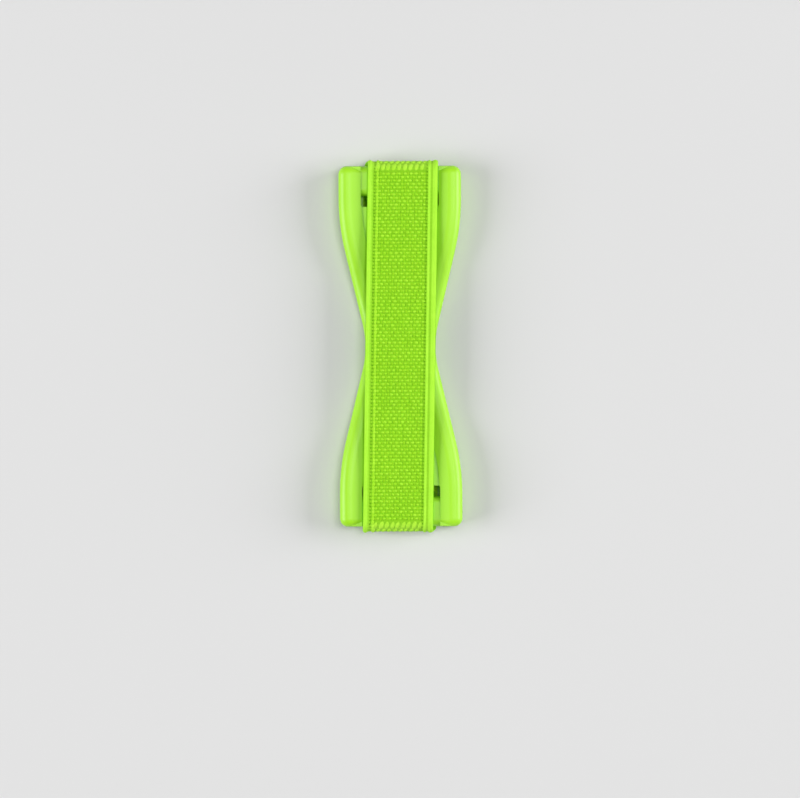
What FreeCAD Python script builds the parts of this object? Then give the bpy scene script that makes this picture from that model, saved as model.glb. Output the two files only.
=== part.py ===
import FreeCAD, Part
import math
import os
import Sketcher

# Finger strap: a moulded hourglass plate, a woven elastic band over it and an adhesive pad under it.
# The origin is the centre of the adhesive face. +Z points away from that face, +Y runs along the band and
# +X across it. Every piece has two planes of symmetry, so a quarter is drawn and then mirrored twice.

doc = FreeCAD.newDocument("finger_strap")

# Driving dimensions, in millimetres

SIZES = {
    "base_length": 63.9,
    "channel_waist": 4.35,
    "channel_clearance": 0.45,
    "rim_width": 4.05,
    "waist_radius": 17.0,
    "shoulder_radius": 40.0,
    "end_straight": 5.8,
    "corner_radius": 1.5,
    "rim_rise": 0.7,
    "rim_waist_rise": 0.7,
    "rim_round": 1.4,
    "slope_run": 2.0,
    "slope_drop": 0.62,
    "crest_round": 2.0,
    "foot_round": 0.3,
    "floor_web": 1.2,
    "floor_step": 0.1,
    "bar_length": 5.35,
    "bar_depth": 2.5,
    "slot_clearance": 0.8,
    "slot_side_clearance": 0.55,
    "slot_corner_radius": 0.35,
    "recess_side_clearance": 0.15,
    "recess_ledge": 0.3,
    "strap_width": 12.7,
    "strap_thickness": 1.1,
    "strap_edge_round": 0.35,
    "tail_drop": 0.45,
    "tail_clearance": 0.1,
    "selvedge_width": 1.75,
    "selvedge_groove": 0.3,
    "groove_depth": 0.22,
    "weft_pitch": 0.61,
    "weft_groove": 0.4,
    "weft_depth": 0.14,
    "pad_thickness": 0.8,
    "pad_seat_depth": 0.4,
    "pad_margin": 0.9,
    "pad_clearance": 0.15,
    "pad_corner_radius": 0.8,
}

sheet = doc.addObject("Spreadsheet::Sheet", "sizes")
for row, (alias, millimetres) in enumerate(SIZES.items(), start=1):
    sheet.set(f"A{row}", alias)
    sheet.set(f"B{row}", str(millimetres))
    sheet.setAlias(f"B{row}", alias)
doc.recompute()

# Levels and places that several pieces share, as expressions on the sheet

HALF_LENGTH = "(sizes.base_length / 2)"
BASE_BOTTOM = "(sizes.pad_thickness - sizes.pad_seat_depth)"
TAIL_BOTTOM = "(sizes.pad_thickness + sizes.tail_clearance)"
BAR_BOTTOM = f"({TAIL_BOTTOM} + sizes.strap_thickness)"
LEDGE = f"({BAR_BOTTOM} - sizes.recess_ledge)"
BAR_TOP = f"({BAR_BOTTOM} + sizes.bar_depth)"
STRAP_TOP = f"({BAR_TOP} + sizes.strap_thickness)"
RIM_TOP = f"({BAR_TOP} + sizes.rim_rise)"
FLOOR_WAIST = "(sizes.pad_thickness + sizes.floor_web)"
FLOOR_END = f"({BAR_TOP} - sizes.floor_step)"
RIM_WAIST = f"({FLOOR_WAIST} + sizes.rim_waist_rise)"
NOSE = "(sizes.bar_depth / 2)"
NOSE_LEVEL = f"({BAR_BOTTOM} + {NOSE})"
OUTER_NOSE = f"({NOSE} + sizes.strap_thickness)"
BAR_END = f"({HALF_LENGTH} - {NOSE})"
BAR_INNER = f"({HALF_LENGTH} - sizes.bar_length)"
BAR_START = f"({BAR_INNER} + {NOSE})"
TAIL_INNER = f"({BAR_INNER} - sizes.strap_thickness)"
SLOT_INNER = f"({TAIL_INNER} - sizes.slot_clearance)"
STRAP_HALF = "(sizes.strap_width / 2)"
SLOT_HALF = f"({STRAP_HALF} + sizes.slot_side_clearance)"
RECESS_HALF = f"({STRAP_HALF} + sizes.recess_side_clearance)"
END_HALF = f"({STRAP_HALF} + sizes.channel_clearance + sizes.rim_width)"
WAIST_HALF = "(sizes.channel_waist / 2 + sizes.rim_width)"
SHOULDER_PLACE = f"({HALF_LENGTH} - sizes.end_straight)"
ABOVE = f"({STRAP_TOP} + sizes.strap_thickness)"
BEYOND = f"({HALF_LENGTH} + sizes.strap_thickness)"

# The most of its wall or crest that a round may take, and of the flare that the outline's two arcs may take

ROUND_SHARE = 0.9
CREST_SHARE = 0.8
WAIST_SHARE = 0.3
SHOULDER_SHARE = 0.6

# Points closer than this are one point, and a smaller part of a normal than this counts as none

SAME_PLACE = 1e-3
SLIGHT = 0.1


def value(expression):
    """Work out an expression on the sheet as a plain number."""
    return float(sheet.evalExpression(expression))


# Sketch helpers


def origin_feature(body, role):
    """Find one of a body's own origin planes or axes by its role."""
    return next(feature for feature in body.Origin.OriginFeatures if feature.Role == role)


def new_sketch(body, name, role, offset=None):
    """Start a sketch on an origin plane, moved along the plane's normal by an expression."""
    sketch = body.newObject("Sketcher::SketchObject", name)
    sketch.AttachmentSupport = [(origin_feature(body, role), "")]
    sketch.MapMode = "FlatFace"
    if offset:
        sketch.setExpression("AttachmentOffset.Base.z", offset)
    return sketch


def bind(sketch, kind, places, expression):
    """Add a constraint whose value follows an expression on the sheet."""
    index = sketch.addConstraint(Sketcher.Constraint(kind, *places, value(expression)))
    sketch.setExpression(f"Constraints[{index}]", expression)


def fix_point(sketch, point, across, up):
    """Tie a point to the sketch's axes; None puts it on that axis."""
    if across:
        bind(sketch, "DistanceX", (-1, 1, *point), across)
    else:
        sketch.addConstraint(Sketcher.Constraint("PointOnObject", *point, -2))
    if up:
        bind(sketch, "DistanceY", (-1, 1, *point), up)
    else:
        sketch.addConstraint(Sketcher.Constraint("PointOnObject", *point, -1))


def arc_between(start, end, radius, turn):
    """A minor arc from start to end that turns left (1) or right (-1), always stored anticlockwise."""
    chord = end - start
    middle = (start + end) * 0.5
    left = FreeCAD.Vector(-chord.y, chord.x, 0).normalize()
    rise = math.sqrt(max(radius**2 - (chord.Length / 2) ** 2, 0))
    centre = middle + left * (rise * turn)
    first, last = (start, end) if turn > 0 else (end, start)
    first_angle = math.atan2(first.y - centre.y, first.x - centre.x)
    last_angle = math.atan2(last.y - centre.y, last.x - centre.x)
    circle = Part.Circle(centre, FreeCAD.Vector(0, 0, 1), radius)
    return Part.ArcOfCircle(circle, first_angle, last_angle)


def draw_profile(sketch, corners):
    """Draw a closed outline of corners (across, up), with (radius, turn) added where an arc leaves one."""
    points = []
    for corner in corners:
        across = value(corner[0]) if corner[0] else 0
        up = value(corner[1]) if corner[1] else 0
        points.append(FreeCAD.Vector(across, up, 0))
    edges = []
    for number, corner in enumerate(corners):
        start = points[number]
        end = points[(number + 1) % len(points)]
        if len(corner) == 2:
            edge = sketch.addGeometry(Part.LineSegment(start, end))
            edges.append((edge, 1, 2))
        else:
            radius, turn = corner[2:]
            edge = sketch.addGeometry(arc_between(start, end, value(radius), turn))
            bind(sketch, "Radius", (edge,), radius)
            edges.append((edge, 1, 2) if turn > 0 else (edge, 2, 1))
    for number, corner in enumerate(corners):
        edge, first, _ = edges[number]
        before, _, last = edges[number - 1]
        sketch.addConstraint(Sketcher.Constraint("Coincident", before, last, edge, first))
        fix_point(sketch, (edge, first), corner[0], corner[1])


# The hourglass outline


def add_flank(sketch, inset, top):
    """Draw one flank, moved in by inset: waist arc, taper, shoulder arc and a straight up to a level."""
    waist = f"({WAIST_HALF} - {inset})"
    side = f"({END_HALF} - {inset})"
    flare = f"({END_HALF} - {WAIST_HALF})"
    # The two arcs share the flare, so together they stay smaller than the arc that would fill it.
    room = f"(({flare}^2 + {SHOULDER_PLACE}^2) / (2 * {flare}))"
    waist_radius = f"(min(sizes.waist_radius; {WAIST_SHARE} * {room}) + {inset})"
    shoulder_radius = f"(min(sizes.shoulder_radius; {SHOULDER_SHARE} * {room}) - {inset})"

    hollow = value(waist_radius)
    bulge = value(shoulder_radius)
    hollow_centre = FreeCAD.Vector(value(waist) + hollow, 0, 0)
    bulge_centre = FreeCAD.Vector(value(side) - bulge, value(SHOULDER_PLACE), 0)
    between = hollow_centre - bulge_centre
    lean = math.atan2(between.y, between.x)
    taper = math.asin((hollow + bulge) / between.Length) - lean - math.pi / 2
    leaving = hollow_centre + FreeCAD.Vector(-math.cos(taper), math.sin(taper), 0) * hollow
    arriving = bulge_centre + FreeCAD.Vector(math.cos(taper), -math.sin(taper), 0) * bulge
    normal = FreeCAD.Vector(0, 0, 1)

    waist_arc = sketch.addGeometry(
        Part.ArcOfCircle(Part.Circle(hollow_centre, normal, hollow), math.pi - taper, math.pi)
    )
    taper_line = sketch.addGeometry(Part.LineSegment(leaving, arriving))
    shoulder_arc = sketch.addGeometry(
        Part.ArcOfCircle(Part.Circle(bulge_centre, normal, bulge), 2 * math.pi - taper, 2 * math.pi)
    )
    straight_start = FreeCAD.Vector(value(side), value(SHOULDER_PLACE), 0)
    straight_end = FreeCAD.Vector(value(side), value(top), 0)
    straight = sketch.addGeometry(Part.LineSegment(straight_start, straight_end))

    sketch.addConstraint(Sketcher.Constraint("PointOnObject", waist_arc, 3, -1))
    fix_point(sketch, (waist_arc, 2), waist, None)
    bind(sketch, "Radius", (waist_arc,), waist_radius)
    sketch.addConstraint(Sketcher.Constraint("Tangent", waist_arc, 1, taper_line, 1))
    sketch.addConstraint(Sketcher.Constraint("Tangent", taper_line, 2, shoulder_arc, 1))
    bind(sketch, "Radius", (shoulder_arc,), shoulder_radius)
    sketch.addConstraint(Sketcher.Constraint("Tangent", shoulder_arc, 2, straight, 1))
    fix_point(sketch, (straight, 1), side, SHOULDER_PLACE)
    bind(sketch, "DistanceY", (-1, 1, straight, 2), top)
    sketch.addConstraint(Sketcher.Constraint("Vertical", straight))
    return (waist_arc, 2), (straight, 2)


def add_line(sketch, start, end):
    """Draw a line between two points that are already placed."""
    points = [sketch.getPoint(*place) for place in (start, end)]
    line = sketch.addGeometry(Part.LineSegment(*points))
    sketch.addConstraint(Sketcher.Constraint("Coincident", line, 1, *start))
    sketch.addConstraint(Sketcher.Constraint("Coincident", line, 2, *end))
    return line


def add_end(sketch, straight_end, radius, reach):
    """Round the plan corner after a flank's straight, then draw the end in to a distance from the middle."""
    size = value(radius)
    start = sketch.getPoint(*straight_end)
    centre = FreeCAD.Vector(start.x - size, start.y, 0)
    circle = Part.Circle(centre, FreeCAD.Vector(0, 0, 1), size)
    corner = sketch.addGeometry(Part.ArcOfCircle(circle, 0, math.pi / 2))
    sketch.addConstraint(Sketcher.Constraint("Tangent", *straight_end, corner, 1))
    bind(sketch, "Radius", (corner,), radius)
    turned = sketch.getPoint(corner, 2)
    end = sketch.addGeometry(Part.LineSegment(turned, FreeCAD.Vector(reach, turned.y, 0)))
    sketch.addConstraint(Sketcher.Constraint("Tangent", corner, 2, end, 1))
    return end, 2


def quarter_outline(body, name, inset, radius, level):
    """Sketch a closed quarter of the hourglass at a level, moved in from the plate's edge by inset."""
    end_level = f"({HALF_LENGTH} - {inset})"
    sketch = new_sketch(body, name, "XY_Plane", level)
    waist, straight_end = add_flank(sketch, inset, f"({end_level} - {radius})")
    end = add_end(sketch, straight_end, radius, 0)
    fix_point(sketch, end, None, end_level)
    add_line(sketch, end, (-1, 1))
    add_line(sketch, (-1, 1), waist)
    return sketch


# Feature helpers


def settle(body, feature):
    """Make a feature the body's last one and stop if it failed."""
    body.Tip = feature
    doc.recompute()
    if "Invalid" in feature.State or feature.Shape.isNull():
        raise RuntimeError(f"{feature.Name} failed: {feature.getStatusString()}")
    return feature


def extrude(body, kind, name, sketch, length, reverse=False):
    """Pad or pocket a sketch by an expression and check that the solid grew or shrank as it should."""
    before = body.Shape.Volume if body.Tip else 0
    feature = body.newObject(f"PartDesign::{kind}", name)
    feature.Profile = sketch
    feature.Reversed = reverse
    feature.setExpression("Length", length)
    settle(body, feature)
    change = feature.Shape.Volume - before
    if change * (1 if kind == "Pad" else -1) <= 0:
        raise RuntimeError(f"{name} changed the volume by {change}")
    return feature


def round_edges(body, name, wanted, radius):
    """Fillet the edges of the body's last feature for which wanted(edge, faces beside it) holds."""
    base = body.Tip
    edges = edge_names(base.Shape, wanted)
    feature = body.newObject("PartDesign::Fillet", name)
    feature.Base = (base, edges)
    feature.setExpression("Radius", radius)
    return settle(body, feature)


def slope_edges(body, name, wanted, run, drop):
    """Chamfer edges of the body's last feature: run along the top and drop down the wall."""
    base = body.Tip
    edges = edge_names(base.Shape, wanted)
    feature = body.newObject("PartDesign::Chamfer", name)
    feature.Base = (base, edges)
    feature.ChamferType = "Two distances"
    feature.setExpression("Size", run)
    feature.setExpression("Size2", drop)
    return settle(body, feature)


def mirror_quarter(body, tag):
    """Mirror the whole quarter across both planes of symmetry."""
    for role in ("YZ_Plane", "XZ_Plane"):
        mirrored = body.newObject("PartDesign::Mirrored", f"{tag}_{role[:2].lower()}")
        mirrored.TransformMode = "Whole shape"
        mirrored.MirrorPlane = (origin_feature(body, role), [""])
        settle(body, mirrored)


def new_body(label):
    """Start a sub-part with its own label and placement."""
    body = doc.addObject("PartDesign::Body", label)
    body.Label = label
    body.Placement = FreeCAD.Placement()
    return body


def edge_names(shape, wanted):
    """Names of the edges for which wanted(edge, faces beside it) holds."""
    names = []
    for number, edge in enumerate(shape.Edges, start=1):
        faces = shape.ancestorsOfType(edge, Part.Face)
        if len(faces) == 2 and wanted(edge, faces):
            names.append(f"Edge{number}")
    return names


def middle_of(edge):
    """The point halfway along an edge's parameter."""
    return edge.valueAt((edge.FirstParameter + edge.LastParameter) / 2)


def normal_at(face, point):
    """The outward normal of a face at a point."""
    return face.normalAt(*face.Surface.parameter(point))


# Base plate


def rim_height(place):
    """Level of the rim's crest at a distance from the waist: two equal arcs, then flat."""
    reach = value(SHOULDER_PLACE)
    low = value(RIM_WAIST)
    high = value(RIM_TOP)
    radius = (reach**2 + (high - low) ** 2) / (4 * (high - low))
    if place >= reach:
        return high
    if place <= reach / 2:
        return low + radius - math.sqrt(radius**2 - place**2)
    return high - radius + math.sqrt(radius**2 - (reach - place) ** 2)


def build_channel():
    """The room between the rims, down to a floor that dips to the waist as the rims do."""
    body = new_body("channel_room")
    outline = new_sketch(body, "channel_outline", "XY_Plane")
    waist, mouth = add_flank(outline, "sizes.rim_width", BEYOND)
    middle = FreeCAD.Vector(0, value(BEYOND), 0)
    far = outline.addGeometry(Part.LineSegment(outline.getPoint(*mouth), middle))
    outline.addConstraint(Sketcher.Constraint("Coincident", far, 1, *mouth))
    outline.addConstraint(Sketcher.Constraint("PointOnObject", far, 2, -2))
    outline.addConstraint(Sketcher.Constraint("Horizontal", far))
    add_line(outline, (far, 2), (-1, 1))
    add_line(outline, (-1, 1), waist)
    extrude(body, "Pad", "channel_block", outline, ABOVE)

    dip = f"({FLOOR_END} - {FLOOR_WAIST})"
    dip_radius = f"(({SHOULDER_PLACE}^2 + {dip}^2) / (4 * {dip}))"
    floor = new_sketch(body, "floor_profile", "YZ_Plane")
    draw_profile(
        floor,
        [
            (None, FLOOR_WAIST, dip_radius, 1),
            (f"({SHOULDER_PLACE} / 2)", f"(({FLOOR_WAIST} + {FLOOR_END}) / 2)", dip_radius, -1),
            (SHOULDER_PLACE, FLOOR_END),
            (SHOULDER_PLACE, BAR_TOP),
            (BEYOND, BAR_TOP),
            (BEYOND, None),
            (None, None),
        ],
    )
    extrude(body, "Pocket", "floor", floor, END_HALF, reverse=True)
    return body


def build_base(channel):
    """The moulded plate: hourglass outline, rims, channel, slots beside rounded end bars, pad seat."""
    body = new_body("base_plate")
    plate = quarter_outline(body, "plate_outline", "0", "sizes.corner_radius", BASE_BOTTOM)
    extrude(body, "Pad", "plate", plate, f"{RIM_TOP} - {BASE_BOTTOM}")

    # Seen from the side, the rims dip to the waist in two equal arcs.
    dip = f"({RIM_TOP} - {RIM_WAIST})"
    dip_radius = f"(({SHOULDER_PLACE}^2 + {dip}^2) / (4 * {dip}))"
    saddle = new_sketch(body, "saddle_profile", "YZ_Plane")
    draw_profile(
        saddle,
        [
            (None, RIM_WAIST, dip_radius, 1),
            (f"({SHOULDER_PLACE} / 2)", f"(({RIM_WAIST} + {RIM_TOP}) / 2)", dip_radius, -1),
            (SHOULDER_PLACE, RIM_TOP),
            (SHOULDER_PLACE, ABOVE),
            (None, ABOVE),
        ],
    )
    extrude(body, "Pocket", "saddle", saddle, END_HALF, reverse=True)

    def on_crest(edge):
        points = [vertex.Point for vertex in edge.Vertexes] + [middle_of(edge)]
        return all(abs(point.z - rim_height(point.y)) < SAME_PLACE for point in points)

    def wall_beside(edge, faces):
        normals = [normal_at(face, middle_of(edge)) for face in faces]
        return next((normal for normal in normals if abs(normal.z) < SLIGHT), FreeCAD.Vector())

    def outer_crest(edge, faces):
        wall = wall_beside(edge, faces)
        return on_crest(edge) and max(wall.x, wall.y) > SLIGHT

    def channel_crest(edge, faces):
        return on_crest(edge) and min(normal_at(face, middle_of(edge)).x for face in faces) < -SLIGHT

    def bottom_edge(edge, faces):
        low = all(abs(vertex.Point.z - value(BASE_BOTTOM)) < SAME_PLACE for vertex in edge.Vertexes)
        wall = wall_beside(edge, faces)
        return low and max(wall.x, wall.y) > SLIGHT

    # The rounds stay a little smaller than the walls that they run along.
    rim_limit = f"{ROUND_SHARE} * sizes.corner_radius; {ROUND_SHARE} * sizes.rim_width / 2"
    rim_round = f"min(sizes.rim_round; {rim_limit})"
    round_edges(body, "rim_rounds", outer_crest, rim_round)
    round_edges(body, "foot_rounds", bottom_edge, "sizes.foot_round")
    cut = body.newObject("PartDesign::Boolean", "channel")
    cut.Type = "Cut"
    cut.Group = [channel]
    settle(body, cut)
    # Inside, the rims slope down to the channel, and the crest above the slope is rounded.
    wall_limit = f"{ROUND_SHARE} * sizes.rim_rise; {ROUND_SHARE} * sizes.rim_waist_rise"
    slope_drop = f"min(sizes.slope_drop; {wall_limit})"
    crest = "(sizes.rim_width - sizes.corner_radius)"
    slope_run = f"min(sizes.slope_run; {CREST_SHARE} * {crest})"
    slope_edges(body, "channel_slopes", channel_crest, slope_run, slope_drop)
    # The crest's round takes half its radius times the steepness from the flat that is left beside the slope.
    crest_limit = f"2 * {CREST_SHARE} * ({crest} - {slope_run}) * {slope_run} / {slope_drop}"
    round_edges(body, "crest_rounds", channel_crest, f"min(sizes.crest_round; {crest_limit})")

    # The slot is cut round the end bar, which stays as a rounded bar. It reaches into the foot of the slopes.
    slot = new_sketch(body, "slot_profile", "YZ_Plane")
    draw_profile(slot, [(SLOT_INNER, LEDGE), (BEYOND, LEDGE), (BEYOND, ABOVE), (SLOT_INNER, ABOVE)])
    draw_profile(
        slot,
        [
            (BAR_START, BAR_BOTTOM),
            (BAR_END, BAR_BOTTOM, NOSE, 1),
            (HALF_LENGTH, NOSE_LEVEL, NOSE, 1),
            (BAR_END, BAR_TOP),
            (BAR_START, BAR_TOP, NOSE, 1),
            (BAR_INNER, NOSE_LEVEL, NOSE, 1),
        ],
    )
    extrude(body, "Pocket", "slot", slot, SLOT_HALF, reverse=True)

    def slot_corner(edge, faces):
        points = [vertex.Point for vertex in edge.Vertexes]
        return all(
            abs(point.x - value(SLOT_HALF)) < SAME_PLACE and abs(point.y - value(SLOT_INNER)) < SAME_PLACE
            for point in points
        )

    ledge_width = "(sizes.slot_side_clearance - sizes.recess_side_clearance)"
    slot_round = f"min(sizes.slot_corner_radius; {ROUND_SHARE} * {ledge_width})"
    round_edges(body, "slot_corners", slot_corner, slot_round)
    # Below a ledge, the slot narrows to the recess for the tail.
    recess = new_sketch(body, "recess_profile", "YZ_Plane")
    draw_profile(recess, [(SLOT_INNER, None), (BEYOND, None), (BEYOND, LEDGE), (SLOT_INNER, LEDGE)])
    extrude(body, "Pocket", "tail_recess", recess, RECESS_HALF, reverse=True)

    seat = quarter_outline(body, "seat_outline", "sizes.pad_margin", "sizes.pad_corner_radius", BASE_BOTTOM)
    extrude(body, "Pocket", "pad_seat", seat, "sizes.pad_seat_depth", reverse=True)
    mirror_quarter(body, "plate")
    return body


# Elastic strap


def build_strap():
    """The woven band: straight over the channel, round both end bars and up into the slots."""
    body = new_body("elastic_strap")
    tail_top = f"({BAR_TOP} - sizes.tail_drop)"
    band = new_sketch(body, "band_profile", "YZ_Plane")
    draw_profile(
        band,
        [
            (None, BAR_TOP),
            (BAR_END, BAR_TOP, NOSE, -1),
            (HALF_LENGTH, NOSE_LEVEL, NOSE, -1),
            (BAR_END, BAR_BOTTOM),
            (BAR_START, BAR_BOTTOM, NOSE, -1),
            (BAR_INNER, NOSE_LEVEL),
            (BAR_INNER, tail_top),
            (TAIL_INNER, tail_top),
            (TAIL_INNER, NOSE_LEVEL, OUTER_NOSE, 1),
            (BAR_START, TAIL_BOTTOM),
            (BAR_END, TAIL_BOTTOM, OUTER_NOSE, 1),
            (BEYOND, NOSE_LEVEL, OUTER_NOSE, 1),
            (BAR_END, STRAP_TOP),
            (None, STRAP_TOP),
        ],
    )
    extrude(body, "Pad", "band", band, STRAP_HALF)

    # A groove runs along each side between the woven middle and the smooth selvedge.
    bottom_of_groove = f"({STRAP_TOP} - sizes.groove_depth)"
    inner_bend = f"({OUTER_NOSE} - sizes.groove_depth)"
    groove_start = f"({STRAP_HALF} - sizes.selvedge_width - sizes.selvedge_groove)"
    groove = new_sketch(body, "groove_profile", "YZ_Plane", groove_start)
    draw_profile(
        groove,
        [
            (None, bottom_of_groove),
            (BAR_END, bottom_of_groove, inner_bend, -1),
            (f"({BEYOND} - sizes.groove_depth)", NOSE_LEVEL),
            (f"({BEYOND} + sizes.groove_depth)", NOSE_LEVEL),
            (f"({BEYOND} + sizes.groove_depth)", ABOVE),
            (None, ABOVE),
        ],
    )
    extrude(body, "Pocket", "selvedge_groove", groove, "sizes.selvedge_groove", reverse=True)

    def selvedge_edge(edge, faces):
        return all(abs(vertex.Point.x - value(STRAP_HALF)) < SAME_PLACE for vertex in edge.Vertexes)

    edge_round = f"min(sizes.strap_edge_round; {ROUND_SHARE} * sizes.strap_thickness / 2)"
    round_edges(body, "selvedge_rounds", selvedge_edge, edge_round)

    # Fine valleys across the woven middle stand between the rows of weft.
    weft_radius = "((sizes.weft_groove^2 / 4 + sizes.weft_depth^2) / (2 * sizes.weft_depth))"
    valley_floor = f"({STRAP_TOP} - sizes.weft_depth)"
    valley = new_sketch(body, "weft_valley", "YZ_Plane")
    first = "(sizes.weft_pitch / 2 - sizes.weft_groove / 2)"
    middle = "(sizes.weft_pitch / 2)"
    last = "(sizes.weft_pitch / 2 + sizes.weft_groove / 2)"
    draw_profile(
        valley,
        [
            (first, STRAP_TOP, weft_radius, 1),
            (middle, valley_floor, weft_radius, 1),
            (last, STRAP_TOP),
        ],
    )
    pocket = extrude(body, "Pocket", "weft_row", valley, groove_start, reverse=True)
    rows = body.newObject("PartDesign::LinearPattern", "weft_rows")
    rows.Originals = [pocket]
    rows.Direction = (origin_feature(body, "Y_Axis"), [""])
    rows.setExpression("Occurrences", f"floor({BAR_END} / sizes.weft_pitch)")
    rows.setExpression("Length", f"(floor({BAR_END} / sizes.weft_pitch) - 1) * sizes.weft_pitch")
    settle(body, rows)
    mirror_quarter(body, "strap")
    return body


# Adhesive pad


def build_pad():
    """The die-cut foam pad, with room all round in its seat."""
    body = new_body("adhesive_pad")
    inset = "(sizes.pad_margin + sizes.pad_clearance)"
    outline = quarter_outline(body, "pad_outline", inset, "sizes.pad_corner_radius", None)
    extrude(body, "Pad", "pad", outline, "sizes.pad_thickness")
    mirror_quarter(body, "pad")
    return body


parts = [build_base(build_channel()), build_strap(), build_pad()]
doc.recompute()

# Nothing is written unless every object is sound

for item in doc.Objects:
    if "Invalid" in item.State or "Error" in item.State:
        raise RuntimeError(f"{item.Label} failed: {item.State}")
for part in parts:
    if part.Shape.isNull() or not part.Shape.isValid() or len(part.Shape.Solids) != 1:
        raise RuntimeError(f"{part.Label} is not one sound solid")

os.makedirs("parts", exist_ok=True)
for part in parts:
    part.Shape.exportStep(f"parts/{part.Label}.step")
    print(part.Label, "volume", round(part.Shape.Volume, 2))
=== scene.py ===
# %% [markdown]
# A finger strap is a lime green plastic plate shaped like an hourglass, a woven elastic band stretched along
# it, and a foam pad underneath that sticks it down. The solids already have the right size and place, so they
# are loaded as a fixed frame first. The plate keeps its solid and gets a better finish. The band and the pad
# are soft, so each gets a new mesh that lies where its solid is.

# %% Load the solids
import math

import bmesh
import bpy
import numpy as np
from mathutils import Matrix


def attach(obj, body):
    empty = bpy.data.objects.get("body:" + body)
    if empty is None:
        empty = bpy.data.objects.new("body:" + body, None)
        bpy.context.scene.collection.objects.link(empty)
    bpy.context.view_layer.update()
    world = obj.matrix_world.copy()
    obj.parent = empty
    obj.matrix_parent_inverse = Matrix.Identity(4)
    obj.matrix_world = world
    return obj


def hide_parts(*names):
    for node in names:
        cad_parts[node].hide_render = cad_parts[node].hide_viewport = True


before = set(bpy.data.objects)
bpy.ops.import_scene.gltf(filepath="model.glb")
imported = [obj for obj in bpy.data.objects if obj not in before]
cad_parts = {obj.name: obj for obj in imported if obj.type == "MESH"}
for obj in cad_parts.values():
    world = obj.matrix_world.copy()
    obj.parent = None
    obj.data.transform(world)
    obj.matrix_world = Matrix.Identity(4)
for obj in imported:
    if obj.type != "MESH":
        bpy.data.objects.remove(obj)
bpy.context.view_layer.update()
MM = 0.001
print("solids:", sorted(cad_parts))

# %% [markdown]
# Both the weave and the finishes are made with nodes. Written out by hand, a sum such as tone + fibres takes
# three lines, so one small class wraps a socket and lets Python's own operators add the Math nodes. Every
# other node comes from one method, which sets the node's own settings first and then fills or links its
# sockets. The nodes that are used most have a short method each.


# %% Node helpers
class Wire:
    """One output socket, so that sums on it read as plain Python."""

    def __init__(self, socket):
        self.socket = socket

    def out(self, name):
        """Another output of the same node."""
        return Wire(self.socket.node.outputs[name])

    def math(self, operation, *operands):
        """A Math node on numbers and wires."""
        tree = Tree(self.socket.id_data)
        return tree.add("ShaderNodeMath", {"operation": operation}, dict(enumerate(operands)))

    def __add__(self, other):
        return self.math("ADD", self, other)

    def __sub__(self, other):
        return self.math("SUBTRACT", self, other)

    def __mul__(self, other):
        return self.math("MULTIPLY", self, other)

    def __truediv__(self, other):
        return self.math("DIVIDE", self, other)

    def __mod__(self, other):
        return self.math("FLOORED_MODULO", self, other)

    def floor(self):
        return self.math("FLOOR", self)

    def absolute(self):
        return self.math("ABSOLUTE", self)

    def sine(self):
        return self.math("SINE", self)

    def step(self, low, high):
        """Rises smoothly from 0 at low to 1 at high."""
        tree = Tree(self.socket.id_data)
        settings = {"interpolation_type": "SMOOTHSTEP"}
        return tree.add("ShaderNodeMapRange", settings, {"Value": self, 1: low, 2: high})


def find_input(node, place):
    """A node's input by its number, or by its name among the enabled ones."""
    if isinstance(place, int):
        return node.inputs[place]
    return next(socket for socket in node.inputs if socket.enabled and socket.name == place)


class Tree:
    """A node tree that is filled one node at a time."""

    def __init__(self, tree):
        self.tree = tree

    def add(self, kind, settings=None, inputs=None):
        """Add a node: its settings first, then a number, colour or wire for each named or numbered socket."""
        made = self.tree.nodes.new(kind)
        for name, setting in (settings or {}).items():
            setattr(made, name, setting)
        for place, given in (inputs or {}).items():
            socket = find_input(made, place)
            if isinstance(given, Wire):
                self.tree.links.new(given.socket, socket)
            else:
                socket.default_value = given
        outputs = [socket for socket in made.outputs if socket.enabled]
        return Wire(outputs[0]) if outputs else made

    def vector(self, operation, *operands):
        """A Vector Math node on vectors and wires."""
        return self.add("ShaderNodeVectorMath", {"operation": operation}, dict(enumerate(operands)))

    def scale(self, vector, factor):
        """A vector times a number."""
        return self.add("ShaderNodeVectorMath", {"operation": "SCALE"}, {"Vector": vector, "Scale": factor})

    def split(self, vector):
        """The X of a vector, with Y and Z as the node's other outputs."""
        return self.add("ShaderNodeSeparateXYZ", {}, {"Vector": vector})

    def combine(self, **parts):
        """A vector from its X, Y and Z."""
        return self.add("ShaderNodeCombineXYZ", {}, parts)

    def blend(self, share, first, second):
        """A colour between two colours."""
        return self.add("ShaderNodeMix", {"data_type": "RGBA"}, {"Factor": share, "A": first, "B": second})

    def noise(self, place, scale, detail=2.0, distortion=0.0):
        """A noise texture at a place."""
        inputs = {"Vector": place, "Scale": scale, "Detail": detail, "Distortion": distortion}
        return self.add("ShaderNodeTexNoise", {}, inputs)

    def bump(self, height, strength, distance):
        """A normal that follows a height."""
        inputs = {"Height": height, "Strength": strength, "Distance": distance}
        return self.add("ShaderNodeBump", {}, inputs)

    def keep(self, geometry, name, value, data_type, domain):
        """Keep a value on the geometry as a named attribute."""
        settings = {"data_type": data_type, "domain": domain}
        inputs = {"Geometry": geometry, "Name": name, "Value": value}
        return self.add("GeometryNodeStoreNamedAttribute", settings, inputs)


print("helpers ready")

# %% [markdown]
# The camera looks straight down on the band. A long lens keeps the flanks from leaning outwards, and its
# distance follows from the width of the picture at the height of the plate. The strap stands a little above
# the middle of the picture and leans a quarter of a degree, so the camera is moved along the strap and rolled
# by that much.

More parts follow.
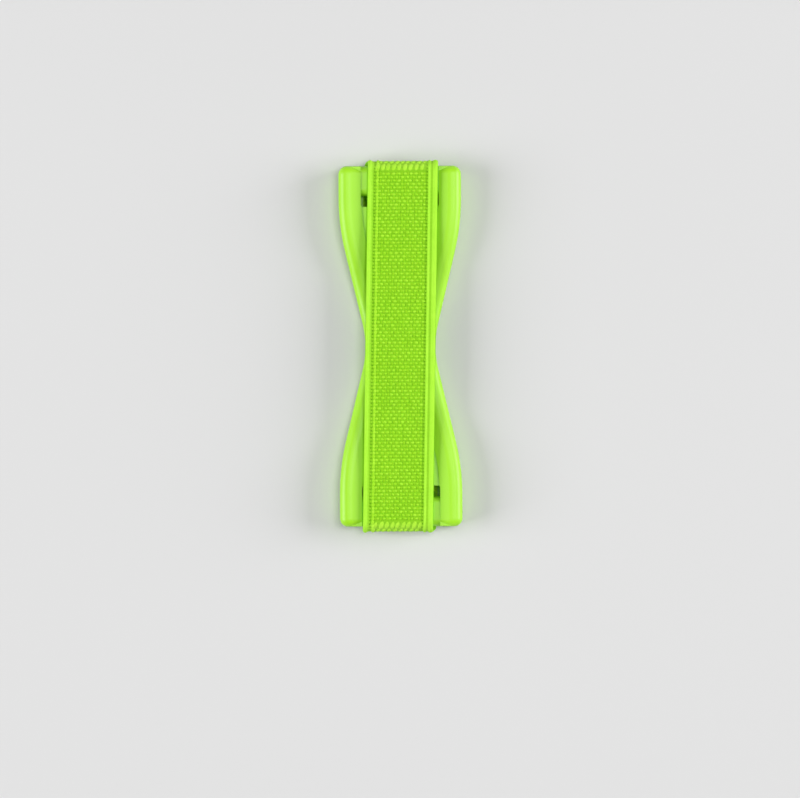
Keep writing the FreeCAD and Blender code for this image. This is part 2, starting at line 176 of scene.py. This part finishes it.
# %% Camera
PICTURE_WIDTH = 141.8 * MM
CAMERA_SHIFT = -9.35 * MM
CAMERA_SIDE = -0.12 * MM
CAMERA_ROLL = -0.0047
PLATE_LEVEL = 3.5 * MM
LENS = 200.0
SENSOR = 36.0
CLIP_END = 10

camera_data = bpy.data.cameras.new("camera")
camera_data.lens = LENS
camera_data.sensor_width = SENSOR
camera_data.clip_end = CLIP_END
camera = bpy.data.objects.new("camera", camera_data)
camera.location = (CAMERA_SIDE, CAMERA_SHIFT, PLATE_LEVEL + PICTURE_WIDTH * LENS / SENSOR)
camera.rotation_euler.z = CAMERA_ROLL
bpy.context.scene.collection.objects.link(camera)
bpy.context.scene.camera = camera
print("camera height", round(camera.location.z, 3))

# %% [markdown]
# A woven band is easiest to make flat, as the loom does, and to wrap round the plate afterwards. Its way is
# known from the solids: down out of one slot, under the end bar and round it, along the top, round the other
# bar and up into the other slot. The path runs through the middle of the band's thickness.

# %% The way of the band
HALF_WIDTH = 6.35
THICKNESS = 1.1
BAR_END = 30.7
BAR_START = 27.85
NOSE = 1.25
NOSE_LEVEL = 3.25
BAR_BOTTOM = NOSE_LEVEL - NOSE
TAIL_TOP = 4.05
BEND_STEPS = 24
BEND = NOSE + THICKNESS / 2


def bend(centre, first, last):
    """Points of an arc about a bar's end, from one angle to another in quarter turns."""
    angles = np.linspace(first, last, int(BEND_STEPS * abs(last - first)) + 1) * math.pi / 2
    return [(centre + BEND * math.cos(a), NOSE_LEVEL + BEND * math.sin(a)) for a in angles]


far_half = [(BAR_START - BEND, TAIL_TOP)] + bend(BAR_START, -2, -1) + bend(BAR_END, -1, 1)
near_half = [(-along, up) for along, up in far_half]
route = np.array(near_half + far_half[::-1]) * MM
LENGTH = float(np.linalg.norm(np.diff(route, axis=0), axis=1).sum())

path_data = bpy.data.curves.new("band_path", "CURVE")
path_data.dimensions = "3D"
spline = path_data.splines.new("POLY")
spline.points.add(len(route) - 1)
for point, (along, up) in zip(spline.points, route):
    point.co = (0, along, up, 1)
path = bpy.data.objects.new("band_path", path_data)
bpy.context.scene.collection.objects.link(path)
print("band length in mm", round(LENGTH / MM, 2))

# %% [markdown]
# Across its width the band has a round cord along one edge with a flat cord inside it, the woven middle, and
# two cords along the other edge, with a deep groove on each side of the middle. The section is a list of
# places across and heights, and it is drawn out along the band. The rows of weft lift the middle a little at
# every row. A thin pale cord just inside the left groove is added later, with the threads.

# %% Flat band
ROW_PITCH = 0.61
HALF_DEPTH = THICKNESS / 2
MIDDLE_START, MIDDLE_END, MIDDLE_LEVEL = -4.92, 4.3, 0.28
MIDDLE_STEPS = 30
GROOVE_LEVEL = 0.12
GROOVE_HALF = 0.06
LEFT_GROOVE, RIGHT_GROOVE = -5.06, 4.44
BACK_FLAT = 5.8
BACK_STEPS = 12
ROW_RIPPLE = 0.04
CORD_RIPPLE = 0.012
EDGE_ROUND = [(0.0, 0.0), (0.04, 0.22), (0.14, 0.42), (0.30, 0.53)]
LEFT_ROUND_CORD = [(-5.92, 0.55), (-5.78, 0.52), (-5.68, 0.44)]
LEFT_FLAT_CORD = [(-5.60, 0.39), (-5.36, 0.36), (-5.25, 0.32), (-5.18, 0.26)]
RIGHT_INNER_CORD = [(4.56, 0.34), (4.66, 0.47), (4.8, 0.51), (4.95, 0.47), (5.07, 0.36)]
RIGHT_OUTER_CORD = [(5.38, 0.35), (5.52, 0.44), (5.64, 0.52), (5.84, 0.55)]


def groove_floor(groove):
    """The flat floor of a groove."""
    return [(groove - GROOVE_HALF, GROOVE_LEVEL), (groove + GROOVE_HALF, GROOVE_LEVEL)]


def tube_faces(rings, sides):
    """Faces of a closed tube: quads from ring to ring, then one face over each end."""
    walls = []
    for ring in range(rings - 1):
        here, there = ring * sides, (ring + 1) * sides
        for side in range(sides):
            following = (side + 1) % sides
            walls.append((here + side, here + following, there + following, there + side))
    return walls + [tuple(range(sides))[::-1], tuple(range((rings - 1) * sides, rings * sides))]


def closed_mesh(name, points, faces):
    """A closed, smooth mesh object whose faces all point outwards."""
    mesh = bpy.data.meshes.new(name)
    mesh.from_pydata(points, [], faces)
    shell = bmesh.new()
    shell.from_mesh(mesh)
    bmesh.ops.recalc_face_normals(shell, faces=shell.faces)
    shell.to_mesh(mesh)
    shell.free()
    mesh.shade_smooth()
    made = bpy.data.objects.new(name, mesh)
    bpy.context.scene.collection.objects.link(made)
    return made


left_edge = [(-HALF_WIDTH + inset, level) for inset, level in EDGE_ROUND]
right_edge = [(HALF_WIDTH - inset, level) for inset, level in EDGE_ROUND[::-1]]
middle = [(across, MIDDLE_LEVEL) for across in np.linspace(MIDDLE_START, MIDDLE_END, MIDDLE_STEPS + 1)]
face = left_edge + LEFT_ROUND_CORD + LEFT_FLAT_CORD + groove_floor(LEFT_GROOVE)
face += middle
face += groove_floor(RIGHT_GROOVE) + RIGHT_INNER_CORD + RIGHT_OUTER_CORD + right_edge
back_edge = [(HALF_WIDTH - inset, -level) for inset, level in EDGE_ROUND[1:]]
flat_back = [(across, -HALF_DEPTH) for across in np.linspace(BACK_FLAT, -BACK_FLAT, BACK_STEPS + 1)]
back = back_edge + flat_back + [(-across, level) for across, level in back_edge[::-1]]
section = face + back
half_rows = round(LENGTH / MM / (ROW_PITCH / 2))

points = []
for half_row in range(half_rows + 1):
    along = LENGTH * (half_row / half_rows - 0.5)
    swing = 1 if half_row % 2 else -1
    for number, (across, height) in enumerate(section):
        on_face = 0 < number < len(face) - 1
        in_middle = MIDDLE_START <= across <= MIDDLE_END
        ripple = (ROW_RIPPLE if in_middle else CORD_RIPPLE) * swing * on_face
        points.append((across * MM, along, (height + ripple) * MM))
band = closed_mesh("elastic_band", points, tube_faces(half_rows + 1, len(section)))
print("flat band:", len(points), "points,", half_rows, "half rows")

# %% [markdown]
# The finishes come next, because the node trees below hand them out. The band is lime elastic. The weft
# threads and the cords along the edges are pale, and the ground between them is painted a darker green as the
# shade that falls between the threads and in the grooves. Where the band bends round a bar it is painted
# paler, as a highlight. Each thread has fine fibres, which a stretched noise gives as a bump. The flat place
# of every point is kept as an attribute, so the pattern follows the cloth round the bends.

# %% Cloth finishes
CLOTH = {
    "Sheen Weight": 0.12,
    "Sheen Roughness": 0.5,
    "Sheen Tint": (0.5, 1, 0.15, 1),
    "Specular IOR Level": 0.15,
}
# Painted highlight: this paler lime is blended in where the band bends round the bars, where light catches
# the bends.
BEND_HIGHLIGHT_LIME = (0.52, 0.93, 0.08, 1)
BEND_HIGHLIGHT_SHARE = 0.4
WEFT_COLOURS = (0.33, 0.73, 0.012, 1), (0.48, 0.88, 0.045, 1)
WARP_COLOURS = (0.27, 0.62, 0.008, 1), (0.35, 0.73, 0.016, 1)
# Painted shade: these darker greens stand for the shade between the threads and in the grooves.
GROUND_SHADE_COLOURS = (0.21, 0.54, 0.006, 1), (0.27, 0.62, 0.012, 1)
GROOVE_SHADE_COLOUR = (0.19, 0.53, 0.005, 1)
CORD_COLOURS = (0.34, 0.79, 0.025, 1), (0.50, 0.95, 0.06, 1)
WEFT_FIBRES = (1500, 9000, 9000)
WARP_FIBRES = (9000, 1500, 9000)
CORD_FIBRES = (6000, 1800, 6000)
THREAD_MOTTLE = 260.0
GROUND_MOTTLE = 300.0
THREAD_ROUGHNESS = 0.6
GROUND_ROUGHNESS = 0.62
FIBRE_ROUGHNESS = 0.2
TONE_SHARE, FIBRE_SHARE, MOTTLE_SHARE = 0.35, 0.35, 0.3
CORD_FIBRE_SHARE, CORD_MOTTLE_SHARE, CORD_TWIST_SHARE = 0.4, 0.3, 0.3
TWIST_ALONG, TWIST_ACROSS = 0.3 * MM, 0.55 * MM
TWIST_HEIGHT, FIBRE_HEIGHT = 0.4, 0.5
CROWN_LEVEL = 0.45
THREAD_BUMP = {"strength": 0.35, "distance": 0.08 * MM}
CORD_BUMP = {"strength": 0.25, "distance": 0.05 * MM}


def new_finish(name):
    """An empty material with its node tree."""
    material = bpy.data.materials.new(name)
    material.use_nodes = True
    material.node_tree.nodes.clear()
    return material, Tree(material.node_tree)


def surface(tree, constants, colour, roughness, normal):
    """Join a principled surface to the material's output."""
    inputs = {**constants, "Base Color": colour, "Roughness": roughness, "Normal": normal}
    shader = tree.add("ShaderNodeBsdfPrincipled", {}, inputs)
    tree.add("ShaderNodeOutputMaterial", {}, {"Surface": shader})


def kept_value(tree, name, output):
    """An attribute that the node trees below keep on the mesh."""
    return tree.add("ShaderNodeAttribute", {"attribute_name": name}).out(output)


def with_bend_highlight(tree, place, colour):
    """The colour as it is on the straight run, with a painted highlight that makes it paler where the band
    bends round a bar.
    """
    along = tree.split(place).out("Y")
    # Painted highlight: paler over the bends round the bars.
    bend_highlight_mask = along.absolute().step(BAR_END * MM, (BAR_END + NOSE) * MM)
    return tree.blend(bend_highlight_mask * BEND_HIGHLIGHT_SHARE, colour, BEND_HIGHLIGHT_LIME)


def thread_finish(name, colours, fibre_scale):
    """Lime thread: colour from the tone of each thread, with a painted highlight where the band bends, and
    fibres along it.
    """
    material, tree = new_finish(name)
    place = kept_value(tree, "cloth_place", "Vector")
    tone = kept_value(tree, "thread_tone", "Fac")
    fibres = tree.noise(tree.vector("MULTIPLY", place, fibre_scale), 1.0, detail=3.0)
    mottle = tree.noise(place, THREAD_MOTTLE)
    share = tone * TONE_SHARE + fibres * FIBRE_SHARE + mottle * MOTTLE_SHARE
    colour = with_bend_highlight(tree, place, tree.blend(share.step(0.0, 1.0), *colours))
    roughness = fibres * FIBRE_ROUGHNESS + THREAD_ROUGHNESS
    surface(tree, CLOTH, colour, roughness, tree.bump(fibres, **THREAD_BUMP))
    return material


def band_finish():
    """The ground of the band: pale twisted cords along the edges, and painted shade in a darker green under
    the weave and in the grooves.
    """
    material, tree = new_finish("elastic_ground")
    place = kept_value(tree, "cloth_place", "Vector")
    across = tree.split(place)
    along, height = across.out("Y"), across.out("Z")
    turns = along * (2 * math.pi / TWIST_ALONG) + across * (2 * math.pi / TWIST_ACROSS)
    twist = (turns.sine() + 1) * 0.5
    fibres = tree.noise(tree.vector("MULTIPLY", place, CORD_FIBRES), 1.0)
    mottle = tree.noise(place, GROUND_MOTTLE, detail=3.0)
    ground = with_bend_highlight(tree, place, tree.blend(mottle, *GROUND_SHADE_COLOURS))
    # Painted shade: darker in the grooves, below the level of the woven middle.
    above_groove = height.step(GROOVE_LEVEL * MM, MIDDLE_LEVEL * MM)
    shaded_ground = tree.blend(above_groove, GROOVE_SHADE_COLOUR, ground)
    share = fibres * CORD_FIBRE_SHARE + mottle * CORD_MOTTLE_SHARE + twist * CORD_TWIST_SHARE
    pale = tree.blend(share.step(0.25, 0.75), *CORD_COLOURS)
    crown = height.step(MIDDLE_LEVEL * MM, CROWN_LEVEL * MM)
    roughness = fibres * FIBRE_ROUGHNESS + GROUND_ROUGHNESS
    bump = tree.bump(twist * TWIST_HEIGHT + fibres * FIBRE_HEIGHT, **CORD_BUMP)
    surface(tree, CLOTH, tree.blend(crown, shaded_ground, pale), roughness, bump)
    return material


weft_finish = thread_finish("weft_thread", WEFT_COLOURS, WEFT_FIBRES)
warp_finish = thread_finish("warp_thread", WARP_COLOURS, WARP_FIBRES)
ground_finish = band_finish()
print("cloth finishes:", weft_finish.name, warp_finish.name, ground_finish.name)

# %% [markdown]
# One node tree wraps anything flat round the path. It reads each point's place along the band, finds that
# length on the path, and puts the point there: across stays across, and height goes outwards from the path.
# Elastic draws in a little when it is stretched, so the tree also makes the band slightly narrower. The band
# runs very slightly askew on the plate, so points move sideways as they go along, and come back under the
# bars.


# %% Wrap tree
def named_inputs(tree, sockets):
    """Declare a tree's inputs and its one output, and return the node that hands the inputs out."""
    for name, kind, default in sockets:
        socket = tree.interface.new_socket(name=name, in_out="INPUT", socket_type=f"NodeSocket{kind}")
        if default is not None:
            socket.default_value = default
    tree.interface.new_socket(name="Geometry", in_out="OUTPUT", socket_type="NodeSocketGeometry")
    return Tree(tree).add("NodeGroupInput")


def close_tree(tree, geometry, material):
    """End a tree in plain geometry with its finish."""
    real = tree.add("GeometryNodeRealizeInstances", {}, {"Geometry": geometry})
    painted = tree.add("GeometryNodeSetMaterial", {}, {"Geometry": real, "Material": material})
    tree.add("NodeGroupOutput", {}, {"Geometry": painted})


wrap_tree = bpy.data.node_groups.new("wrap_round_bars", "GeometryNodeTree")
wrap_inputs = named_inputs(
    wrap_tree,
    [
        ("Geometry", "Geometry", None),
        ("Path", "Object", None),
        ("Half length", "Float", LENGTH / 2),
        ("Skew", "Float", 0.0),
        ("Width kept", "Float", 1.0),
        ("Material", "Material", None),
    ],
)
wrap = Tree(wrap_tree)
flat_place = wrap.add("GeometryNodeInputPosition")
flat = wrap.split(flat_place)
curve = wrap.add("GeometryNodeObjectInfo", {}, {"Object": wrap_inputs.out("Path")}).out("Geometry")
sample = wrap.add(
    "GeometryNodeSampleCurve",
    {"mode": "LENGTH"},
    {"Curves": curve, "Length": flat.out("Y") + wrap_inputs.out("Half length")},
)
on_path = sample.out("Position")
outwards = wrap.vector("CROSS_PRODUCT", (1, 0, 0), sample.out("Tangent"))
whereabouts = wrap.split(on_path)
straightening = whereabouts.out("Z").step(BAR_BOTTOM * MM, NOSE_LEVEL * MM)
askew = whereabouts.out("Y") * wrap_inputs.out("Skew") * straightening
sideways = wrap.combine(X=flat * wrap_inputs.out("Width kept") + askew)
lifted = wrap.scale(outwards, flat.out("Z"))
wrapped = wrap.vector("ADD", wrap.vector("ADD", on_path, sideways), lifted)
marked = wrap.keep(wrap_inputs.out("Geometry"), "cloth_place", flat_place, "FLOAT_VECTOR", "POINT")
moved = wrap.add("GeometryNodeSetPosition", {}, {"Geometry": marked, "Position": wrapped})
close_tree(wrap, moved, wrap_inputs.out("Material"))
print("wrap tree:", len(wrap_tree.nodes), "nodes")

# %% [markdown]
# The weave repeats one small shape: a thread that rises over its neighbour and dives again, which looks like
# a grain of rice. In a plain weave the threads of one row stand in the gaps of the row before, as bricks do.
# A second tree lays out those places by row and column, sets a grain on each with a little seeded variation,
# and keeps a tone for every grain. The same tree makes the weft that shows, the warp between it, the stitches
# in the grooves, the thin cord beside one of them, and the long slanting floats where the band bends round
# the bars.

# %% Weave tree
GRAIN_SIDES = 8
GRAIN_RINGS = 5
TURN_SHARE = 1.5

weave_tree = bpy.data.node_groups.new("lay_weave", "GeometryNodeTree")
weave_inputs = named_inputs(
    weave_tree,
    [
        ("Rows", "Int", 10),
        ("Columns", "Int", 10),
        ("Row pitch", "Float", ROW_PITCH * MM),
        ("Column pitch", "Float", MM),
        ("Stagger", "Float", 0.5),
        ("Shift", "Float", 0.0),
        ("Centre", "Float", 0.0),
        ("Along", "Float", 0.0),
        ("Slant", "Float", 0.0),
        ("Lift", "Float", 0.0),
        ("Grain", "Vector", (0, 0, 0)),
        ("Variation", "Float", 0.08),
        ("Seed", "Int", 1),
        ("Material", "Material", None),
    ],
)
weave = Tree(weave_tree)
row_count = weave_inputs.out("Rows")
column_count = weave_inputs.out("Columns")
row_pitch = weave_inputs.out("Row pitch")
variation = weave_inputs.out("Variation")


def scatter(seed_step, low, high):
    """A seeded random number for each grain."""
    inputs = {"Min": low, "Max": high, "Seed": weave_inputs.out("Seed") + seed_step}
    return weave.add("FunctionNodeRandomValue", {"data_type": "FLOAT"}, inputs)


index = weave.add("GeometryNodeInputIndex")
row = (index / column_count).floor()
column = index - row * column_count
brick = ((row % 2) * weave_inputs.out("Stagger") + weave_inputs.out("Shift")) % 1
across = (column + brick - column_count * 0.5 + 0.25) * weave_inputs.out("Column pitch")
along = (row - (row_count - 1) * 0.5) * row_pitch + weave_inputs.out("Along")
nudge = scatter(1, -1.0, 1.0) * variation * row_pitch
spot = weave.combine(X=across + weave_inputs.out("Centre") + nudge, Y=along, Z=weave_inputs.out("Lift"))
spots = weave.add("GeometryNodePoints", {}, {"Count": row_count * column_count, "Position": spot})
ball_inputs = {"Segments": GRAIN_SIDES, "Rings": GRAIN_RINGS, "Radius": 1.0}
ball = weave.add("GeometryNodeMeshUVSphere", {}, ball_inputs)
lying = weave.add("GeometryNodeTransform", {}, {"Geometry": ball, "Rotation": (0, math.pi / 2, 0)})
grain = weave.add("GeometryNodeSetShadeSmooth", {}, {"Geometry": lying})
growth = scatter(2, -1.0, 1.0) * variation + 1
grain_size = weave.scale(weave_inputs.out("Grain"), growth)
turn = weave.combine(Z=scatter(3, -1.0, 1.0) * variation * TURN_SHARE + weave_inputs.out("Slant"))
grains = weave.add(
    "GeometryNodeInstanceOnPoints",
    {},
    {"Points": spots, "Instance": grain, "Rotation": turn, "Scale": grain_size},
)
toned = weave.keep(grains, "thread_tone", scatter(4, 0.0, 1.0), "FLOAT", "INSTANCE")
close_tree(weave, toned, weave_inputs.out("Material"))
print("weave tree:", len(weave_tree.nodes), "nodes")

# %% [markdown]
# With both trees ready, the flat pieces are wrapped. A modifier's inputs are set by identifier before the
# object is evaluated. The result is then turned into a plain mesh, because an exported model keeps no
# modifiers or instances.

# %% Wrap the band and its threads
SKEW = 0.0185
WIDTH_KEPT = 0.983
WRAP = {"Path": path, "Skew": SKEW, "Width kept": WIDTH_KEPT}
WEFT_GRAIN = (0.29, 0.215, 0.18)
WARP_GRAIN = (0.22, 0.3, 0.16)
STITCH_GRAIN = (0.17, 0.27, 0.15)
CORD_GRAIN = (0.25, 0.38, 0.2)
FLOAT_GRAIN = (0.36, 0.76, 0.12)
TOP_LIFT = 0.3
WARP_LIFT = 0.26
STITCH_LIFT = 0.17
UNEVENNESS = 0.16
ONE_COLUMN_CENTRED = 0.25
INNER_CORD = -4.52
FLOAT_ROWS = 4
FLOAT_PITCH = 1.3
FLOAT_SLANT = -0.28
FLOAT_START = BAR_END + 0.3
FLOAT_CENTRE = FLOAT_START + FLOAT_ROWS * FLOAT_PITCH / 2


def in_mm(lengths):
    """Lengths in millimetres as metres."""
    return tuple(length * MM for length in lengths)


def add_tree(piece, tree, settings):
    """Add a node tree as a modifier and fill its named inputs."""
    modifier = piece.modifiers.new(tree.name, "NODES")
    modifier.node_group = tree
    sockets = {item.name: item.identifier for item in tree.interface.items_tree if item.in_out == "INPUT"}
    for name, given in settings.items():
        modifier[sockets[name]] = given


def make_plain(piece):
    """Turn what the modifiers make into the piece's own mesh."""
    view = bpy.context.evaluated_depsgraph_get()
    piece.data = bpy.data.meshes.new_from_object(piece.evaluated_get(view))
    piece.modifiers.clear()
    print(piece.name, len(piece.data.polygons), "faces")
    return piece


def threads(name, settings, finish):
    """Lay one set of threads flat and wrap it round the bars."""
    piece = bpy.data.objects.new(name, bpy.data.meshes.new(name))
    bpy.context.scene.collection.objects.link(piece)
    add_tree(piece, weave_tree, {**settings, "Material": finish})
    add_tree(piece, wrap_tree, {**WRAP, "Material": finish})
    return make_plain(piece)


add_tree(band, wrap_tree, {**WRAP, "Material": ground_finish})
make_plain(band)

woven = {
    "Rows": int(2 * BAR_END / ROW_PITCH) + 1,
    "Columns": round(MIDDLE_END - MIDDLE_START),
    "Centre": (MIDDLE_START + MIDDLE_END) / 2 * MM,
    "Lift": TOP_LIFT * MM,
}
weft_layout = {**woven, "Grain": in_mm(WEFT_GRAIN), "Variation": UNEVENNESS, "Seed": 11}
warp_layout = {
    **woven,
    "Grain": in_mm(WARP_GRAIN),
    "Lift": WARP_LIFT * MM,
    "Shift": 0.5,
    "Variation": UNEVENNESS,
    "Seed": 23,
}
stitch_layout = {
    "Rows": int(LENGTH / MM / ROW_PITCH) - 1,
    "Columns": 1,
    "Stagger": 0.0,
    "Shift": ONE_COLUMN_CENTRED,
    "Grain": in_mm(STITCH_GRAIN),
    "Lift": STITCH_LIFT * MM,
    "Seed": 31,
}
cord_layout = {
    **stitch_layout,
    "Centre": INNER_CORD * MM,
    "Grain": in_mm(CORD_GRAIN),
    "Lift": TOP_LIFT * MM,
    "Seed": 59,
}
float_layout = {
    **woven,
    "Rows": FLOAT_ROWS,
    "Row pitch": FLOAT_PITCH * MM,
    "Slant": FLOAT_SLANT,
    "Grain": in_mm(FLOAT_GRAIN),
    "Seed": 47,
}
sewn = [
    threads("weft_threads", weft_layout, weft_finish),
    threads("warp_threads", warp_layout, warp_finish),
    threads("left_stitches", {**stitch_layout, "Centre": LEFT_GROOVE * MM}, weft_finish),
    threads("right_stitches", {**stitch_layout, "Centre": RIGHT_GROOVE * MM}, weft_finish),
    threads("inner_cord", cord_layout, weft_finish),
    threads("far_floats", {**float_layout, "Along": FLOAT_CENTRE * MM}, weft_finish),
    threads("near_floats", {**float_layout, "Along": -FLOAT_CENTRE * MM}, weft_finish),
]

# %% [markdown]
# The plate is moulded in one shot from lime plastic with a satin finish. Its solid already has the rims,
# rounds and slots, so it stays and only gets a material: a faint flow of colour in the plastic, a very fine
# moulded grain, and a gloss that varies slightly as it does on handled plastic.

# %% Plate finish
PLATE_COLOURS = (0.36, 0.79, 0.010, 1), (0.39, 0.83, 0.020, 1)
PLATE_ROUGHNESS = 0.36
PLATE_GLOSS = 0.6
FLOW_SCALE = 70.0
FLOW_BEND = 0.6
FLOW_ROUGHNESS, GRAIN_ROUGHNESS = 0.08, 0.06
MOULD_GRAIN = 5200.0
PLATE_BUMP = {"strength": 0.06, "distance": 0.05 * MM}


def plate_finish():
    """Satin lime plastic."""
    material, tree = new_finish("satin_lime_plastic")
    place = tree.add("ShaderNodeTexCoord").out("Object")
    flow = tree.noise(place, FLOW_SCALE, detail=3.0, distortion=FLOW_BEND)
    grain = tree.noise(place, MOULD_GRAIN)
    colour = tree.blend(flow.step(0.3, 0.7), *PLATE_COLOURS)
    roughness = flow * FLOW_ROUGHNESS + grain * GRAIN_ROUGHNESS + PLATE_ROUGHNESS
    bump = tree.bump(grain, **PLATE_BUMP)
    surface(tree, {"Specular IOR Level": PLATE_GLOSS}, colour, roughness, bump)
    return material


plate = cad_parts["base_plate"]
plate.data.materials.clear()
plate.data.materials.append(plate_finish())
print("plate finish on", plate.name)

# %% [markdown]
# The foam pad is die-cut, so its outline is the solid's, but its edge is soft: it bulges a little between the
# two films of glue. The outline is read from the solid's corners, sorted by their angle round the middle, and
# a few rings at different heights and insets make the soft edge.

# %% Foam pad
PAD_RINGS = [(0.30, 0.0), (0.06, 0.02), (0.02, 0.12), (0.10, 0.16), (0.03, 0.26), (0.0, 0.40)]
PAD_THICKNESS = 0.8
PAD_FOOT = 0.01
FILM_LEVEL = 0.75
FOAM_COLOURS = (0.035, 0.04, 0.035, 1), (0.08, 0.085, 0.08, 1)
FILM_COLOURS = (0.46, 0.93, 0.01, 1), (0.50, 0.97, 0.02, 1)
CELL_SHARE, HAZE_SHARE = 0.6, 0.4
FOAM_ROUGHNESS = 0.65
HAZE_ROUGHNESS = 0.2
FOAM_GLOSS = 0.3
FOAM_BUMP = {"strength": 0.4, "distance": 0.05 * MM}
CELL_SCALE = 6000.0
HAZE_SCALE = 400.0

pad_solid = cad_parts["adhesive_pad"]
foot = [vertex.co for vertex in pad_solid.data.vertices if vertex.co.z < PAD_FOOT * MM]
corners = {(round(corner.x / MM, 3), round(corner.y / MM, 3)) for corner in foot}
outline = np.array(sorted(corners, key=lambda corner: math.atan2(corner[1], corner[0])))
ahead = np.roll(outline, -1, axis=0) - np.roll(outline, 1, axis=0)
inwards = np.stack([-ahead[:, 1], ahead[:, 0]], axis=1)
inwards /= np.linalg.norm(inwards, axis=1)[:, None]
rings = PAD_RINGS + [(inset, PAD_THICKNESS - level) for inset, level in PAD_RINGS[-2::-1]]
pad_points = []
for inset, level in rings:
    pad_points += [(x * MM, y * MM, level * MM) for x, y in outline + inwards * inset]
pad = closed_mesh("foam_pad", pad_points, tube_faces(len(rings), len(outline)))


def foam_finish():
    """Dark closed-cell foam with a lime film on its upper face, which shows at the bottom of the slots."""
    material, tree = new_finish("dark_foam")
    place = tree.add("ShaderNodeTexCoord").out("Object")
    cells = tree.add("ShaderNodeTexVoronoi", {}, {"Vector": place, "Scale": CELL_SCALE})
    haze = tree.noise(place, HAZE_SCALE, detail=3.0)
    foam = tree.blend(cells * CELL_SHARE + haze * HAZE_SHARE, *FOAM_COLOURS)
    film = tree.blend(haze, *FILM_COLOURS)
    on_top = tree.split(place).out("Z").step(FILM_LEVEL * MM, PAD_THICKNESS * MM)
    colour = tree.blend(on_top, foam, film)
    roughness = haze * HAZE_ROUGHNESS + FOAM_ROUGHNESS
    bump = tree.bump(cells, **FOAM_BUMP)
    surface(tree, {"Specular IOR Level": FOAM_GLOSS}, colour, roughness, bump)
    return material


pad.data.materials.append(foam_finish())
print("foam pad:", len(pad_points), "points")

# %% [markdown]
# A plain pale floor, a large soft lamp on each side and a weaker one over the strap. Light from both sides
# rounds the rims, and leaves the channel beside the band in shade. The world adds a little even light and
# looks white to the camera.

# %% Floor and light
FLOOR_HALF = 2.0
FLOOR_LEVEL = -0.02 * MM
FLOOR_CORNERS = [(-1, -1), (1, -1), (1, 1), (-1, 1)]
FLOOR_COLOURS = (0.66, 0.66, 0.66, 1), (0.70, 0.70, 0.70, 1)
FLOOR_ROUGHNESS = 0.6
CLOUD_SCALE = 4.0
CLOUD_ROUGHNESS = 0.05
FLOOR_BUMP = {"strength": 0.02, "distance": MM}
LAMPS = {
    "overhead": {"place": (0.22, 0.1, 1.1), "size": 0.35, "power": 3.4},
    "left": {"place": (-0.9, -0.1, 0.48), "size": 0.6, "power": 8.2},
    "right": {"place": (0.93, 0.1, 0.4), "size": 0.6, "power": 8.4},
}
AMBIENT = {"Color": (0.5, 0.5, 0.5, 1), "Strength": 0.5}
BACKDROP = {"Color": (1, 1, 1, 1), "Strength": 0.8}

floor_mesh = bpy.data.meshes.new("floor")
floor_points = [(x * FLOOR_HALF, y * FLOOR_HALF, FLOOR_LEVEL) for x, y in FLOOR_CORNERS]
floor_mesh.from_pydata(floor_points, [], [(0, 1, 2, 3)])
floor = bpy.data.objects.new("floor", floor_mesh)
bpy.context.scene.collection.objects.link(floor)
floor_paint, floor_tree = new_finish("pale_floor")
floor_cloud = floor_tree.noise(floor_tree.add("ShaderNodeTexCoord").out("Object"), CLOUD_SCALE)
floor_colour = floor_tree.blend(floor_cloud, *FLOOR_COLOURS)
floor_roughness = floor_cloud * CLOUD_ROUGHNESS + FLOOR_ROUGHNESS
floor_bump = floor_tree.bump(floor_cloud, **FLOOR_BUMP)
surface(floor_tree, {"Specular IOR Level": 0.0}, floor_colour, floor_roughness, floor_bump)
floor_mesh.materials.append(floor_paint)


def soft_lamp(name, place, size, power):
    """A square lamp that faces the strap and isn't seen itself."""
    data = bpy.data.lights.new(name, "AREA")
    data.size = size
    data.energy = power
    lamp = bpy.data.objects.new(name, data)
    lamp.location = place
    lamp.rotation_euler = (-lamp.location).to_track_quat("-Z", "Y").to_euler()
    lamp.visible_camera = False
    bpy.context.scene.collection.objects.link(lamp)


for name, facts in LAMPS.items():
    soft_lamp(name, **facts)

world = bpy.data.worlds.new("studio")
world.use_nodes = True
world.node_tree.nodes.clear()
studio = Tree(world.node_tree)
ray = studio.add("ShaderNodeLightPath")
seen = ray.out("Is Camera Ray") + ray.out("Is Transmission Ray")
ambient = studio.add("ShaderNodeBackground", {}, AMBIENT)
backdrop = studio.add("ShaderNodeBackground", {}, BACKDROP)
room = studio.add("ShaderNodeMixShader", {}, {0: seen, 1: ambient, 2: backdrop})
studio.add("ShaderNodeOutputWorld", {}, {"Surface": room})
bpy.context.scene.world = world
bpy.context.scene.view_settings.view_transform = "Standard"
print("lamps:", [light.name for light in bpy.data.lights])

# %% [markdown]
# Last, every piece is tied to the part's one body, and the solids of the band and the pad are hidden. The
# path was only a helper, so it goes.

# %% Tie the pieces to the frame
bpy.data.objects.remove(path)
for piece in [band, pad, *sewn]:
    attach(piece, "root")
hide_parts("elastic_strap")
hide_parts("adhesive_pad")
